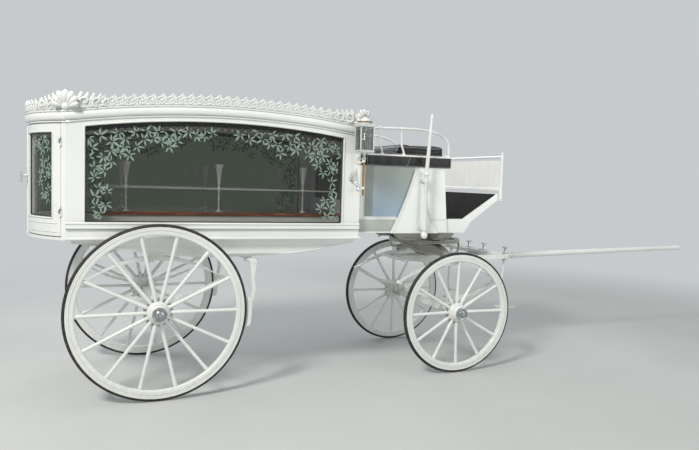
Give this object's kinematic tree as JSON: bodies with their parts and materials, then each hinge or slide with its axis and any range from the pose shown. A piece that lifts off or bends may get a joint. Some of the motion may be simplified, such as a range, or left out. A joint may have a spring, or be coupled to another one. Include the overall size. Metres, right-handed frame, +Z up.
{
  "type": "glass-sided hearse carriage",
  "caption": "White four-wheeled funeral carriage with a glass cabin, bowed rear doors, roof gallery, driver's seat, lamps, spoked wheels and a turning fore-carriage with a pole.",
  "frame": {"origin": "on the ground, under the centre of the bounding box", "axes": "+X forward along the pole, +Y to the carriage's left, +Z up"},
  "size_m": [6.6699, 1.49, 2.21],
  "materials": {
    "white_paint": "gloss coach paint",
    "clear_glass": "clear glass with etched borders",
    "rubber_tyre": "matt black rubber",
    "black_leather": "satin leather",
    "bright_metal": "polished plate",
    "mahogany": "varnished"
  },
  "bodies": {
    "carriage": {"hull": "white_paint", "cabin_side_right": "white_paint", "cabin_side_left": "white_paint", "side_glass_right": "clear_glass", "side_glass_left": "clear_glass", "front_wall": "white_paint", "front_glass": "clear_glass", "roof": "white_paint", "gallery": "white_paint", "deck": "mahogany", "deck_rail_right": "bright_metal", "deck_rail_left": "bright_metal", "boot": "white_paint", "seat_box": "black_leather", "seat_board": "white_paint", "seat_cushion": "black_leather", "seat_pad": "black_leather", "seat_rail": "white_paint", "footboard": "white_paint", "foot_mat": "black_leather", "dashboard": "white_paint", "rear_spring_right": "white_paint", "rear_spring_left": "white_paint", "rear_axle": "white_paint", "turntable_upper": "white_paint", "lamp_right": "white_paint", "lamp_left": "white_paint", "lamp_glass_right": "clear_glass", "lamp_glass_left": "clear_glass", "brake_lever": "white_paint", "brake_gear": "white_paint"},
    "right_door": {"door_right": "white_paint", "door_glass_right": "clear_glass", "door_handle": "bright_metal"},
    "left_door": {"door_left": "white_paint", "door_glass_left": "clear_glass"},
    "fore_carriage": {"turntable_lower": "white_paint", "futchells": "white_paint", "splinter_bar": "white_paint", "bar_stay_right": "white_paint", "bar_stay_left": "white_paint", "pole": "white_paint", "step_right": "white_paint", "step_left": "white_paint", "front_spring_right": "white_paint", "front_spring_left": "white_paint", "front_axle": "white_paint"},
    "rear_right_wheel": {"rear_wheel_right": "white_paint", "rear_tyre_right": "rubber_tyre"},
    "rear_left_wheel": {"rear_wheel_left": "white_paint", "rear_tyre_left": "rubber_tyre"},
    "front_right_wheel": {"front_wheel_right": "white_paint", "front_tyre_right": "rubber_tyre"},
    "front_left_wheel": {"front_wheel_left": "white_paint", "front_tyre_left": "rubber_tyre"}
  },
  "joints": [
    {"name": "right_door_hinge", "type": "hinge", "parent": "carriage", "child": "right_door", "pos_m": [-3.05659, -0.54877, 1.345], "axis": [0, 0, 1], "range_deg": [0, 110]},
    {"name": "left_door_hinge", "type": "hinge", "parent": "carriage", "child": "left_door", "pos_m": [-3.05659, 0.54877, 1.345], "axis": [0, 0, -1], "range_deg": [0, 110]},
    {"name": "steering", "type": "hinge", "parent": "carriage", "child": "fore_carriage", "pos_m": [0.0646, 0, 1.09], "axis": [0, 0, 1], "range_deg": [-75, 75]},
    {"name": "rear_right_spin", "type": "hinge", "parent": "carriage", "child": "rear_right_wheel", "pos_m": [-2.4104, -0.65, 0.635], "axis": [0, 1, 0], "continuous": true},
    {"name": "rear_left_spin", "type": "hinge", "parent": "carriage", "child": "rear_left_wheel", "pos_m": [-2.4104, 0.65, 0.635], "axis": [0, 1, 0], "continuous": true},
    {"name": "front_right_spin", "type": "hinge", "parent": "fore_carriage", "child": "front_right_wheel", "pos_m": [0.0646, -0.635, 0.518], "axis": [0, 1, 0], "continuous": true},
    {"name": "front_left_spin", "type": "hinge", "parent": "fore_carriage", "child": "front_left_wheel", "pos_m": [0.0646, 0.635, 0.518], "axis": [0, 1, 0], "continuous": true}
  ]
}
